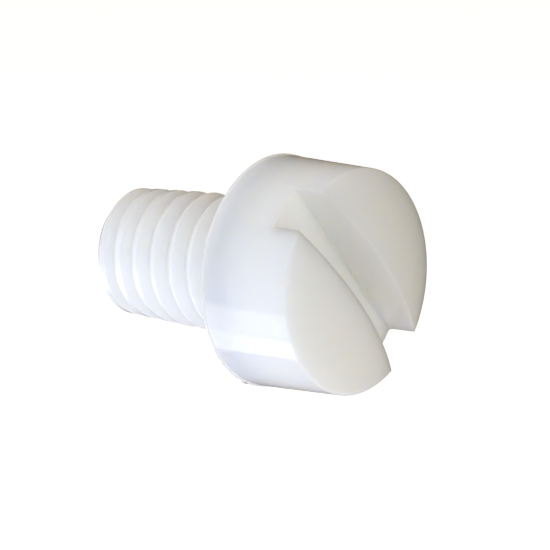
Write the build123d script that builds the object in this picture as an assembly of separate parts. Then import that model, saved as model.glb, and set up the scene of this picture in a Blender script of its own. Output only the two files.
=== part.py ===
"""Slotted nylon hull fitting: a one-piece moulding and the seal ring under its head.

Frame: the origin is the middle of the head's seating face, on the fitting's axis. The shank points along
+Y, into the hull. The domed face looks along -Y, out of it, and +Z is up. Sizes are in millimetres.
"""
import os
from math import radians, tan

from build123d import *

os.makedirs("parts", exist_ok=True)

# Head
head_side_h = 7.2        # from the seating face to the rim
head_draft = 1.3         # degrees: the side narrows towards the rim
crown_h = 1.4            # rise of the domed face above the rim
rim_round = 0.25
lip_w = 0.25             # parting edge of the mould, a thin band at the seating face
lip_h = 0.07             # how far that band stands out of the side

# Driving slot, straight across the face
slot_w = 3.4
slot_depth = 3.6         # from the top of the dome
slot_angle = -47.5       # degrees about the axis, from +X towards +Z
slot_floor_round = 0.2

# Shank, with a 3/8-16 unified coarse thread moulded a little under its nominal diameter
thread_d = 9.36          # across the crests
threads_per_inch = 16
shank_len = 12.4         # from the seating face to the tip
lead_in = 0.6            # length and depth of the 45 degree lead-in at the tip
thread_turn = -23        # degrees about the axis from +Z towards +X, where the ridge starts
core_turn = 60           # degrees on from there to the seam of the turned core, clear of the ridge's ends

# Plain neck between the seal ring and the thread, which centres the fitting and keeps the ring on
neck_step = 0.17         # how far the neck stands out past the thread's crests
neck_len = 1.0
neck_taper = 0.45        # length of the run-out from the neck down to the thread's root

# Seal ring, its seat round the shank, and its groove in the seating face
ring_section_d = 1.78
ring_seat_step = 0.2     # how far the ring's seat lies inside the neck
ring_pinch = 0.01        # how far the ring presses into its seat and the groove's floor
ring_clearance = 0.05    # between the ring and the neck
groove_squeeze = 0.24    # share of the ring's section that is squeezed when the head is screwed home
groove_clearance = 0.4   # between the ring and the groove's outer wall
seat_land = 1.07         # width of the flat ring that meets the hull, outside the groove

# Worked out from the sizes above
pitch = 25.4 / threads_per_inch
crest_flat = pitch / 8
root_flat = pitch / 4
half_flank = (pitch - crest_flat - root_flat) / 2
thread_depth = half_flank / tan(radians(30))
crest_r = thread_d / 2
root_r = crest_r - thread_depth
neck_r = crest_r + neck_step
ring_seat_r = neck_r - ring_seat_step
groove_depth = ring_section_d * (1 - groove_squeeze)
groove_r = ring_seat_r + ring_section_d + groove_clearance
neck_y = ring_section_d - groove_depth + ring_clearance
neck_wall_y = neck_y + ring_seat_step
neck_end_y = neck_wall_y + neck_len
head_r = groove_r + seat_land
rim_r = head_r - head_side_h * tan(radians(head_draft))
face_y = -head_side_h - crown_h


def turned(half_section):
    """Solid turned about the fitting's axis from the face that is its half section."""
    return revolve(half_section, Axis.Y)


def head_blank():
    """Drafted cylinder with a low spherical dome, a rounded rim and the band of the parting edge."""
    dome_r = (rim_r**2 + crown_h**2) / (2 * crown_h)
    side = Polyline((0, 0), (head_r, 0), (rim_r, -head_side_h))
    dome = RadiusArc((rim_r, -head_side_h), (0, face_y), dome_r)
    half_section = make_face(side + dome + Line((0, face_y), (0, 0)))
    rim = half_section.vertices().sort_by_distance((rim_r, -head_side_h, 0))[0]
    blank = turned(fillet(rim, rim_round))
    band_r = head_r + lip_h
    band = Polyline((0, 0), (band_r, 0), (band_r, lip_h - lip_w), (head_r, -lip_w), (0, -lip_w), close=True)
    return blank + turned(make_face(band))


def driving_slot():
    """Space of the slot: flat floor, upright walls and small fillets along the floor."""
    over = 2 * head_r
    floor_y = face_y + slot_depth
    cutter = Pos(0, floor_y - over / 2, 0) * Box(2 * over, over, slot_w)
    corners = cutter.edges().filter_by(Axis.X).group_by(Axis.Y)[-1]
    return Rot(0, -slot_angle, 0) * fillet(corners, slot_floor_round)


def thread_ridge():
    """One helical ridge from inside the neck to past the tip, with its foot sunk in the core."""
    start_y = neck_end_y - pitch / 2
    path = Helix(pitch, shank_len - start_y + pitch, root_r, center=(0, start_y, 0), direction=(0, 1, 0))
    foot = path @ 0
    radial = Vector(foot.X, 0, foot.Z).normalized()
    plane = Plane(origin=foot, x_dir=radial, z_dir=radial.cross(Vector(0, 1, 0)))
    sink = thread_depth / 8
    half_foot = half_flank + crest_flat / 2 + sink * tan(radians(30))
    ridge = Polyline(
        (-sink, -half_foot),
        (thread_depth, -crest_flat / 2),
        (thread_depth, crest_flat / 2),
        (-sink, half_foot),
        close=True,
    )
    return Rot(0, thread_turn, 0) * sweep(plane * make_face(ridge), path, is_frenet=True)


def shank():
    """Ring seat, plain neck, threaded core and a 45 degree lead-in at the tip."""
    core_section = Polyline(
        (0, -groove_depth),
        (ring_seat_r, -groove_depth),
        (ring_seat_r, neck_y),
        (neck_r, neck_wall_y),
        (neck_r, neck_end_y),
        (root_r, neck_end_y + neck_taper),
        (root_r, shank_len + pitch),
        (0, shank_len + pitch),
        close=True,
    )
    over = 2 * crest_r
    tip_section = Polyline(
        (0, shank_len),
        (crest_r - lead_in, shank_len),
        (over, shank_len - lead_in + crest_r - over),
        (over, shank_len + 2 * over),
        (0, shank_len + 2 * over),
        close=True,
    )
    past_tip = turned(make_face(tip_section))
    core = Rot(0, thread_turn + core_turn, 0) * turned(make_face(core_section))
    return (core - past_tip) + (thread_ridge() - past_tip)


def seal_groove():
    """Space of the groove that the seal ring lies in."""
    over = ring_section_d
    section = Polyline(
        (ring_seat_r, over),
        (ring_seat_r, -groove_depth),
        (groove_r, -groove_depth),
        (groove_r, over),
        close=True,
    )
    return turned(make_face(section))


def fitting_body():
    """The whole moulding."""
    return head_blank() - driving_slot() - seal_groove() + shank()


def seal_ring():
    """O-ring, pressed against its seat round the shank and the groove's floor."""
    section_r = ring_section_d / 2
    place = Pos(0, section_r - groove_depth - ring_pinch, 0) * Rot(90, 0, 0)
    return place * Torus(ring_seat_r + section_r - ring_pinch, section_r)


nodes = {"fitting_body": fitting_body(), "seal_ring": seal_ring()}
for name, solid in nodes.items():
    solid.label = name
    export_step(solid, f"parts/{name}.step")
    print(name, round(solid.volume, 2), "mm3")
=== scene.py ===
"""Slotted nylon hull fitting with its seal ring, as it comes out of the mould and off the shelf.

The axis of the fitting is Y: the shank points along +Y and the domed face along -Y. Sizes are in metres.
"""
from math import asin, cos, pi, radians, sin, sqrt, tan

import bpy
from mathutils import Matrix, Vector


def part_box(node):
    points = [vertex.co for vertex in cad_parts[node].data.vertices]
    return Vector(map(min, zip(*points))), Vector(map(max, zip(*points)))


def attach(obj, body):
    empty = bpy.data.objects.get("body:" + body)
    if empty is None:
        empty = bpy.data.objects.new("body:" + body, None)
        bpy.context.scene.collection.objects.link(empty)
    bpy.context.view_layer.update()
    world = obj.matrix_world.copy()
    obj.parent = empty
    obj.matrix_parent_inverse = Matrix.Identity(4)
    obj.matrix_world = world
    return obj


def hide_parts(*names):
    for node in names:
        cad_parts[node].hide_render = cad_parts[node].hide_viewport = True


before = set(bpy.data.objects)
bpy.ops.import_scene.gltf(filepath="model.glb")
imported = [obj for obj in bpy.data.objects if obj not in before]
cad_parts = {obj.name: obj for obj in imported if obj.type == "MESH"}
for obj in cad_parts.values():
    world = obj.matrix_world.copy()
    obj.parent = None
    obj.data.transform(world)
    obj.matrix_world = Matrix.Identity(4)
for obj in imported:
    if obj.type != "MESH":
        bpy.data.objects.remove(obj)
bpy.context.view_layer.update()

# ---------------------------------------------------------------------------------------------------
# Head of the fitting: a thick drafted disc of natural nylon with a low domed face, moulded in one shot
# with the shank. The thin band round its back edge is where the two halves of the mould meet, and the
# seal ring's groove is cored into its seating face.

MM = 0.001
FACETS = 144                            # round the head

head_r = 7.90 * MM
head_side_h = 7.2 * MM
head_draft = radians(1.3)
crown_h = 1.4 * MM
rim_round = 0.25 * MM
lip_w = 0.25 * MM
lip_h = 0.07 * MM
corner = 0.06 * MM                      # every small corner of the mould is eased by this much
same_point = 0.0005 * MM                # points closer than this are one
near = 0.01 * MM                        # slack when points are picked by place

groove_r = 6.8328 * MM
groove_depth = 1.3528 * MM
ring_seat_r = 4.65 * MM
neck_r = 4.85 * MM
neck_slope_y = 0.4772 * MM              # the ring's seat ends here and slopes out to the neck
neck_start_y = 0.6772 * MM
neck_end_y = 1.6772 * MM
neck_taper = 0.45 * MM
core_r = 3.8206 * MM
spigot_r = 3.4 * MM                     # the neck's taper runs on inside the thread's core to this radius

rim_r = head_r - head_side_h * tan(head_draft)
dome_r = (rim_r**2 + crown_h**2) / (2 * crown_h)
dome_centre = Vector((0, dome_r - head_side_h - crown_h))


def pick(obj):
    """Makes obj the only selected and the active object."""
    bpy.ops.object.select_all(action="DESELECT")
    obj.select_set(True)
    bpy.context.view_layer.objects.active = obj


def select_points(obj, wanted):
    """In edit mode, selects the points that satisfy wanted, with the edges and faces between them."""
    bpy.ops.mesh.select_mode(type="VERT")
    bpy.ops.mesh.select_all(action="DESELECT")
    bpy.ops.object.mode_set(mode="OBJECT")
    for point in obj.data.vertices:
        point.select = wanted(point.co)
    bpy.ops.object.mode_set(mode="EDIT")


def finish_with(obj, kind, **settings):
    """Adds one modifier and applies it."""
    pick(obj)
    modifier = obj.modifiers.new(kind.title(), kind)
    for name, value in settings.items():
        setattr(modifier, name, value)
    bpy.ops.object.modifier_apply(modifier=modifier.name)


def turn_section(section):
    """Carries the selected ring of edges along a half section of (radius, y) points by extruding it."""
    for (old_r, old_y), (new_r, new_y) in zip(section, section[1:]):
        bpy.ops.mesh.extrude_region_move(TRANSFORM_OT_translate={"value": (0, new_y - old_y, 0)})
        scale = new_r / old_r
        bpy.ops.transform.resize(value=(scale, 1, scale), center_override=(0, 0, 0))


# The rim's rounding touches the drafted side and the dome, so its centre lies inside both by its radius.
side_dir = Vector((-sin(head_draft), -cos(head_draft)))
side_in = Vector((-cos(head_draft), sin(head_draft)))
offset = Vector((head_r, 0)) + rim_round * side_in - dome_centre
along = -offset.dot(side_dir) + sqrt(
    offset.dot(side_dir) ** 2 - offset.dot(offset) + (dome_r - rim_round) ** 2
)
rim_centre = dome_centre + offset + along * side_dir
face_angle = asin(rim_centre.x / (dome_r - rim_round))
face_r = dome_r * sin(face_angle)

# The face is laid out in rows along the slot. Their ends are equal steps round the head's outline.
rows = FACETS // 2 - 1
columns = 16
bpy.ops.object.select_all(action="DESELECT")
bpy.ops.mesh.primitive_grid_add(x_subdivisions=columns, y_subdivisions=rows, size=2, rotation=(pi / 2, 0, 0))
head = bpy.context.object
head.name = "fitting_moulding"
bpy.ops.object.transform_apply(location=True, rotation=True, scale=True)
row_turn = pi / 2 - pi / FACETS
for point in head.data.vertices:
    x = point.co.x * face_r * cos(point.co.z * row_turn)
    z = face_r * sin(point.co.z * row_turn)
    point.co = (x, dome_centre.y - sqrt(dome_r**2 - x * x - z * z), z)

bpy.ops.object.mode_set(mode="EDIT")
bpy.ops.mesh.select_mode(type="EDGE")
bpy.ops.mesh.select_all(action="SELECT")
bpy.ops.mesh.region_to_loop()

rim_steps = 6
first_turn = face_angle - pi / 2
turn = (-head_draft - first_turn) / rim_steps
rim = [
    (
        rim_centre.x + rim_round * cos(first_turn + i * turn),
        rim_centre.y + rim_round * sin(first_turn + i * turn),
    )
    for i in range(rim_steps + 1)
]
lip_r = head_r + lip_h
turn_section(rim + [
    (head_r - lip_w * tan(head_draft), -lip_w),
    (lip_r, lip_h - lip_w),
    (lip_r, -corner),
    (lip_r - corner, 0),
    (groove_r + corner, 0),
    (groove_r, -corner),
    (groove_r, corner - groove_depth),
    (groove_r - corner, -groove_depth),
    (ring_seat_r + corner, -groove_depth),
    (ring_seat_r, corner - groove_depth),
    (ring_seat_r, neck_slope_y),
    (neck_r, neck_start_y),
    (neck_r, neck_end_y),
    (spigot_r, neck_end_y + neck_taper * (neck_r - spigot_r) / (neck_r - core_r)),
])
bpy.ops.mesh.edge_face_add()
bpy.ops.mesh.select_all(action="SELECT")
bpy.ops.mesh.remove_doubles(threshold=0.0001 * MM)
bpy.ops.mesh.normals_make_consistent(inside=False)
bpy.ops.object.mode_set(mode="OBJECT")

# ---------------------------------------------------------------------------------------------------
# Driving slot: one straight passage across the face, with a flat floor and upright walls, for a wide
# screwdriver or a coin. The mould's core bar forms it, so its floor corners and its edges are eased.

slot_w = 3.4 * MM
slot_depth = 3.6 * MM
slot_angle = radians(-47.5)
slot_floor_round = 0.2 * MM
slot_edge_round = 0.08 * MM
slot_over = 4 * MM                      # how far the core bar runs past the head

floor_y = slot_depth - head_side_h - crown_h
bpy.ops.object.select_all(action="DESELECT")
bpy.ops.mesh.primitive_cube_add(size=1, location=(0, floor_y - (slot_depth + slot_over) / 2, 0))
core_bar = bpy.context.object
core_bar.scale = (2 * head_r + 2 * slot_over, slot_depth + slot_over, slot_w)
bpy.ops.object.transform_apply(location=True, rotation=True, scale=True)
bpy.ops.object.mode_set(mode="EDIT")
bpy.ops.mesh.select_mode(type="EDGE")
bpy.ops.mesh.select_all(action="DESELECT")
bpy.ops.object.mode_set(mode="OBJECT")
for edge in core_bar.data.edges:
    a, b = (core_bar.data.vertices[i].co for i in edge.vertices)
    edge.select = min(a.y, b.y) > floor_y - slot_edge_round and abs(a.x - b.x) > head_r
bpy.ops.object.mode_set(mode="EDIT")
bpy.ops.mesh.bevel(offset=slot_floor_round, segments=5, affect="EDGES")
bpy.ops.object.mode_set(mode="OBJECT")

finish_with(head, "BOOLEAN", operation="DIFFERENCE", object=core_bar, solver="EXACT")
bpy.data.objects.remove(core_bar)
finish_with(
    head, "BEVEL", width=slot_edge_round, segments=4, limit_method="ANGLE",
    angle_limit=radians(60), use_clamp_overlap=False,
)
pick(head)
bpy.ops.object.mode_set(mode="EDIT")
bpy.ops.mesh.select_all(action="SELECT")
bpy.ops.transform.rotate(value=slot_angle, orient_axis="Y", center_override=(0, 0, 0))
bpy.ops.object.mode_set(mode="OBJECT")

# ---------------------------------------------------------------------------------------------------
# Shank: a coarse right-hand thread that runs out into the plain neck, narrows a little towards its tip
# and ends in a 45 degree lead-in. It is moulded in one with the head, which leaves its crests and roots
# a little soft.

pitch = 25.4 / 16 * MM
crest_r = 4.68 * MM
shank_len = 12.4 * MM
lead_in = 0.45 * MM
taper_y = 5.0 * MM                      # from here the crests shrink a little towards the tip
tip_crest_r = 4.34 * MM
crest_flat = pitch / 8
root_flat = pitch / 4
thread_start = radians(-23)             # from +Z towards +X, where the ridge leaves the neck
crest_soft = 0.09 * MM
thread_turns = 9

flank_y = (pitch - root_flat) / 2
first_crest_y = neck_end_y - pitch / 2 - pitch * thread_start / (2 * pi) - pitch
bpy.ops.object.select_all(action="DESELECT")
bpy.ops.mesh.primitive_plane_add(size=MM, location=(0, first_crest_y - pitch / 2, core_r))
shank = bpy.context.object
shank.name = "shank"
bpy.ops.object.transform_apply(location=True, rotation=True, scale=True)
bpy.ops.object.mode_set(mode="EDIT")
bpy.ops.mesh.select_mode(type="VERT")
bpy.ops.mesh.select_all(action="SELECT")
bpy.ops.mesh.merge(type="CENTER")
section = [
    (core_r, -pitch / 2),
    (core_r, -flank_y),
    (crest_r, -crest_flat / 2),
    (crest_r, crest_flat / 2),
    (core_r, flank_y),
    (core_r, pitch / 2),
]
for (old_r, old_y), (new_r, new_y) in zip(section, section[1:]):
    bpy.ops.mesh.extrude_region_move(TRANSFORM_OT_translate={"value": (0, new_y - old_y, new_r - old_r)})
select_points(shank, lambda p: abs(p.y - first_crest_y) < pitch / 2 - near)
bpy.ops.mesh.bevel(offset=crest_soft, segments=3, affect="VERTICES")
bpy.ops.object.mode_set(mode="OBJECT")
finish_with(
    shank, "SCREW", axis="Y", angle=2 * pi, screw_offset=pitch, iterations=thread_turns,
    steps=FACETS, render_steps=FACETS, use_smooth_shade=False,
)
bpy.ops.object.mode_set(mode="EDIT")
bpy.ops.mesh.select_all(action="SELECT")
bpy.ops.mesh.remove_doubles(threshold=0.001 * MM)
inner_cut_y = neck_start_y + 0.5 * MM   # inside the neck, past where the ridge leaves it
outer_cut_y = shank_len + 0.1 * MM
for cut_y, above in ((inner_cut_y, False), (outer_cut_y, True)):
    bpy.ops.mesh.select_all(action="SELECT")
    bpy.ops.mesh.bisect(
        plane_co=(0, cut_y, 0), plane_no=(0, 1, 0), use_fill=True, clear_inner=not above, clear_outer=above
    )
bpy.ops.mesh.select_all(action="SELECT")
bpy.ops.mesh.normals_make_consistent(inside=False)
bpy.ops.object.mode_set(mode="OBJECT")

bpy.ops.object.select_all(action="DESELECT")
bpy.ops.mesh.primitive_circle_add(
    vertices=FACETS, radius=crest_r + corner, fill_type="NGON", rotation=(pi / 2, 0, 0)
)
envelope = bpy.context.object
bpy.ops.object.transform_apply(location=True, rotation=True, scale=True)
bpy.ops.object.mode_set(mode="EDIT")
bpy.ops.mesh.select_all(action="SELECT")
turn_section([
    (crest_r + corner, 0),
    (crest_r + corner, taper_y),
    (tip_crest_r, shank_len - lead_in),
    (tip_crest_r - lead_in + corner, shank_len - corner),
    (tip_crest_r - lead_in, shank_len),
])
bpy.ops.mesh.select_all(action="SELECT")
bpy.ops.mesh.normals_make_consistent(inside=False)
bpy.ops.object.mode_set(mode="OBJECT")
finish_with(shank, "BOOLEAN", operation="INTERSECT", object=envelope, solver="EXACT")
bpy.data.objects.remove(envelope)
finish_with(head, "BOOLEAN", operation="UNION", object=shank, solver="EXACT")
bpy.data.objects.remove(shank)

pick(head)
bpy.ops.object.mode_set(mode="EDIT")
bpy.ops.mesh.select_all(action="SELECT")
bpy.ops.mesh.remove_doubles(threshold=same_point)
bpy.ops.object.mode_set(mode="OBJECT")
bpy.ops.object.shade_smooth_by_angle(angle=radians(32))

# ---------------------------------------------------------------------------------------------------
# Gate stub: nylon was shot into the mould through a gate that met the lip low on one side. The gate is
# snapped off by hand and leaves a low rough stub.

gate_w = 0.55 * MM
gate_depth = 0.17 * MM
gate_h = 0.06 * MM
gate_tear = 0.035 * MM                  # roughness of the broken end
gate_turn = radians(-114.6)             # from +X towards +Z
gate_out = Vector((cos(gate_turn), 0, sin(gate_turn)))
gate = gate_out * lip_r - Vector((0, lip_w / 2, 0))
bpy.ops.object.select_all(action="DESELECT")
bpy.ops.mesh.primitive_cube_add(size=1, location=gate, rotation=(0, -gate_turn, 0))
stub = bpy.context.object
stub.name = "gate_stub"
stub.scale = (2 * gate_h, gate_depth, gate_w)
bpy.ops.object.transform_apply(location=True, rotation=True, scale=True)
bpy.ops.object.mode_set(mode="EDIT")
bpy.ops.mesh.subdivide(number_cuts=3)
select_points(stub, lambda p: p.dot(gate_out) > lip_r + gate_h / 2)
bpy.ops.transform.vertex_random(offset=gate_tear, seed=4)
bpy.ops.object.mode_set(mode="OBJECT")
finish_with(head, "BOOLEAN", operation="UNION", object=stub, solver="EXACT")
bpy.data.objects.remove(stub)

# ---------------------------------------------------------------------------------------------------
# Natural nylon, the head and shank's one material, is milky: light sinks a few millimetres in, so thin
# crests and edges glow. The mould leaves it glossy with a faint ripple and fine scuffs, and the resin is
# a little uneven in tone.

nylon = bpy.data.materials.new("natural_nylon")
nylon.use_nodes = True
nodes, links = nylon.node_tree.nodes, nylon.node_tree.links
shader = nodes["Principled BSDF"]
shader.inputs["IOR"].default_value = 1.53
shader.inputs["Subsurface Weight"].default_value = 1.0
shader.inputs["Subsurface Radius"].default_value = (1.0, 0.9, 0.75)
shader.inputs["Subsurface Scale"].default_value = 4 * MM
shader.inputs["Subsurface Anisotropy"].default_value = 0.2
place = nodes.new("ShaderNodeTexCoord")

cloud = nodes.new("ShaderNodeTexNoise")
cloud.inputs["Scale"].default_value = 260
cloud.inputs["Detail"].default_value = 3
tone = nodes.new("ShaderNodeMix")
tone.data_type = "RGBA"
tone.inputs["A"].default_value = (0.94, 0.935, 0.91, 1)
tone.inputs["B"].default_value = (0.96, 0.955, 0.94, 1)
links.new(place.outputs["Object"], cloud.inputs["Vector"])
links.new(cloud.outputs["Fac"], tone.inputs["Factor"])

# A small dark brown speck is mixed into the colour on and round the broken gate.
reach = nodes.new("ShaderNodeVectorMath")
reach.operation = "DISTANCE"
reach.inputs[1].default_value = gate + gate_out * gate_h
speck = nodes.new("ShaderNodeMapRange")
speck.inputs["From Min"].default_value = 0.12 * MM
speck.inputs["From Max"].default_value = 0.22 * MM
speck.inputs["To Min"].default_value = 1
speck.inputs["To Max"].default_value = 0
# Here the dark brown of the gate's speck is mixed over the nylon's tone.
dark_speck_mix = nodes.new("ShaderNodeMix")
dark_speck_mix.data_type = "RGBA"
dark_speck_mix.inputs["B"].default_value = (0.12, 0.07, 0.04, 1)
links.new(place.outputs["Object"], reach.inputs[0])
links.new(reach.outputs["Value"], speck.inputs["Value"])
links.new(speck.outputs["Result"], dark_speck_mix.inputs["Factor"])
links.new(tone.outputs["Result"], dark_speck_mix.inputs["A"])
links.new(dark_speck_mix.outputs["Result"], shader.inputs["Base Color"])

scuff = nodes.new("ShaderNodeTexNoise")
scuff.inputs["Scale"].default_value = 2600
scuff.inputs["Detail"].default_value = 4
gloss = nodes.new("ShaderNodeMapRange")
gloss.inputs["From Min"].default_value = 0.3
gloss.inputs["From Max"].default_value = 0.7
gloss.inputs["To Min"].default_value = 0.05
gloss.inputs["To Max"].default_value = 0.14
links.new(place.outputs["Object"], scuff.inputs["Vector"])
links.new(scuff.outputs["Fac"], gloss.inputs["Value"])
links.new(gloss.outputs["Result"], shader.inputs["Roughness"])

ripple = nodes.new("ShaderNodeTexNoise")
ripple.inputs["Scale"].default_value = 420
ripple.inputs["Detail"].default_value = 7
ripple.inputs["Roughness"].default_value = 0.62
skin = nodes.new("ShaderNodeBump")
skin.inputs["Strength"].default_value = 0.45
skin.inputs["Distance"].default_value = 0.02 * MM
links.new(place.outputs["Object"], ripple.inputs["Vector"])
links.new(ripple.outputs["Fac"], skin.inputs["Height"])
links.new(skin.outputs["Normal"], shader.inputs["Normal"])
head.data.materials.clear()
head.data.materials.append(nylon)
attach(head, "root")
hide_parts("fitting_body")

# ---------------------------------------------------------------------------------------------------
# Seal ring: a moulded nitrile O-ring that lies in the groove and seals the head against the hull. Its
# mould opens round the middle, which leaves a fine flash line round the outside. It is rolled over
# the neck by hand and stays on by its own stretch.

ring_low, ring_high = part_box("seal_ring")
section_r = (ring_high.y - ring_low.y) / 2
ring_r = ring_high.x - section_r
ring_y = (ring_low.y + ring_high.y) / 2
flash_w = 0.08 * MM
flash_h = 0.05 * MM
bpy.ops.object.select_all(action="DESELECT")
bpy.ops.mesh.primitive_torus_add(
    major_radius=ring_r, minor_radius=section_r, major_segments=128, minor_segments=40,
    location=(0, ring_y, 0), rotation=(pi / 2, 0, 0),
)
ring = bpy.context.object
ring.name = "seal_ring_moulded"
bpy.ops.object.transform_apply(location=True, rotation=True, scale=True)
outer_r = ring_r + section_r
bpy.ops.object.mode_set(mode="EDIT")
select_points(ring, lambda p: abs(p.y - ring_y) < near and Vector((p.x, p.z)).length > ring_r)
bpy.ops.mesh.bevel(offset=flash_w / 2, segments=2, affect="EDGES")
select_points(ring, lambda p: abs(p.y - ring_y) < near and Vector((p.x, p.z)).length > ring_r)
proud = 1 + flash_h / outer_r
bpy.ops.transform.resize(value=(proud, 1, proud), center_override=(0, 0, 0))
bpy.ops.mesh.select_all(action="SELECT")
bpy.ops.mesh.normals_make_consistent(inside=False)
bpy.ops.object.mode_set(mode="OBJECT")
bpy.ops.object.shade_smooth_by_angle(angle=radians(40))

rubber = bpy.data.materials.new("black_nitrile_rubber")
rubber.use_nodes = True
nodes, links = rubber.node_tree.nodes, rubber.node_tree.links
shader = nodes["Principled BSDF"]
shader.inputs["Roughness"].default_value = 0.5
shader.inputs["Specular IOR Level"].default_value = 0.4
place = nodes.new("ShaderNodeTexCoord")
bloom = nodes.new("ShaderNodeTexNoise")
bloom.inputs["Scale"].default_value = 700
bloom.inputs["Detail"].default_value = 5
tone = nodes.new("ShaderNodeMix")
tone.data_type = "RGBA"
tone.inputs["A"].default_value = (0.012, 0.012, 0.013, 1)
tone.inputs["B"].default_value = (0.035, 0.035, 0.034, 1)
links.new(place.outputs["Object"], bloom.inputs["Vector"])
links.new(bloom.outputs["Fac"], tone.inputs["Factor"])
links.new(tone.outputs["Result"], shader.inputs["Base Color"])
ring.data.materials.clear()
ring.data.materials.append(rubber)
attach(ring, "root")
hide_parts("seal_ring")

# ---------------------------------------------------------------------------------------------------
# Studio: a white paper floor that neither lights nor shades the fitting, a dim warm room, seven large
# boxes of soft light and two small boxes low down, which show as a clean patch on the head.

floor_z = -55 * MM
bpy.ops.object.select_all(action="DESELECT")
bpy.ops.mesh.primitive_plane_add(size=8, location=(0, 0, floor_z))
floor = bpy.context.object
floor.name = "paper_floor"
paper = bpy.data.materials.new("pale_paper")
paper.use_nodes = True
shader = paper.node_tree.nodes["Principled BSDF"]
shader.inputs["Base Color"].default_value = (0.9, 0.9, 0.9, 1)
shader.inputs["Roughness"].default_value = 0.9
shader.inputs["Emission Color"].default_value = (1, 1, 1, 1)
shader.inputs["Emission Strength"].default_value = 0.9
floor.data.materials.append(paper)
floor.visible_diffuse = False
floor.visible_glossy = False
floor.visible_shadow = False

room = bpy.data.worlds.new("room")
bpy.context.scene.world = room
room.use_nodes = True
room.node_tree.nodes["Background"].inputs["Color"].default_value = (1.0, 0.7, 0.3, 1)
room.node_tree.nodes["Background"].inputs["Strength"].default_value = 0.13


def softbox(name, centre, aim, size, colour, radiance, across=(0, 0, 1)):
    """A rectangular area light that faces aim, with its height along across and its width square to it."""
    light = bpy.data.lights.new(name, "AREA")
    light.shape = "RECTANGLE"
    light.size, light.size_y = size
    light.color = colour
    light.energy = radiance * pi * size[0] * size[1]
    lamp = bpy.data.objects.new(name, light)
    bpy.context.scene.collection.objects.link(lamp)
    back = (Vector(centre) - Vector(aim)).normalized()
    side = Vector(across).cross(back).normalized()
    facing = Matrix((side, back.cross(side), back)).transposed().to_4x4()
    lamp.matrix_world = Matrix.Translation(centre) @ facing
    lamp.visible_camera = False
    return lamp


# Seven large boxes light the nylon from all round. They are hidden from its gloss, so that only the
# two low boxes further down are mirrored in it.
large = (200 * MM, 200 * MM)
centre = Vector((0, 0, 0))
for box in (
    softbox("low_left_box", (-0.166, 0.148, -0.201), centre, large, (0.7, 0.8, 1.0), 6.4),
    softbox("under_box", (-0.042, -0.034, -0.295), centre, large, (1.0, 0.93, 1.0), 2.2),
    softbox("low_right_box", (0.078, -0.206, -0.202), centre, large, (0.85, 1.0, 1.0), 1.2),
    softbox("high_left_box", (-0.124, 0.169, 0.214), centre, large, (1.0, 0.99, 0.97), 4.4),
    softbox("front_box", (-0.222, -0.177, 0.098), centre, large, (0.6, 0.74, 1.0), 2.4),
    softbox("front_left_box", (-0.297, -0.007, 0.043), centre, large, (0.67, 0.83, 1.0), 1.0),
    softbox("front_right_box", (-0.03, -0.296, 0.038), centre, large, (1.0, 0.95, 0.82), 2.6),
):
    box.visible_glossy = False

# The two low boxes are seen only in the gloss of the head's side, as a patch with a crisp lower edge
# that fades out upwards.
patch = Vector((-7.2 * MM, -4 * MM, -3 * MM))
patch_edge = Vector((-0.11, 0.615, -0.782))
patch_middle = Vector((-0.442, 0.611, -0.657))
patch_end = Vector((-0.70, 0.615, -0.35))
low_distance = 45 * MM
sharp_box = softbox(
    "low_softbox", patch + low_distance * (patch_edge + patch_middle).normalized(), patch,
    (40 * MM, 16 * MM), (0.97, 0.99, 1.0), 2.6, across=patch_middle - patch_edge,
)
sharp_box.visible_diffuse = False
fade_box = softbox(
    "low_softbox_fade", patch + low_distance * (patch_middle + patch_end).normalized(), patch,
    (40 * MM, 19 * MM), (0.97, 0.99, 1.0), 1.7, across=patch_end - patch_middle,
)
fade_box.visible_diffuse = False

# ---------------------------------------------------------------------------------------------------
# Camera: a long lens a little above the axis, on the slot side and towards the shank's flank.

camera_azimuth = radians(-51.35)
camera_elevation = radians(10.42)
camera_distance = 475.5 * MM
aim = Vector((0, -0.08 * MM, -0.34 * MM))
away = Vector((
    sin(camera_azimuth) * cos(camera_elevation),
    -cos(camera_azimuth) * cos(camera_elevation),
    sin(camera_elevation),
))
lens = bpy.data.cameras.new("camera")
lens.lens = 458.2
lens.sensor_width = 36
lens.clip_start = 0.01
camera = bpy.data.objects.new("camera", lens)
bpy.context.scene.collection.objects.link(camera)
camera.location = aim + camera_distance * away
camera.rotation_euler = (-away).to_track_quat("-Z", "Y").to_euler()
bpy.context.scene.camera = camera
bpy.context.scene.view_settings.view_transform = "Standard"
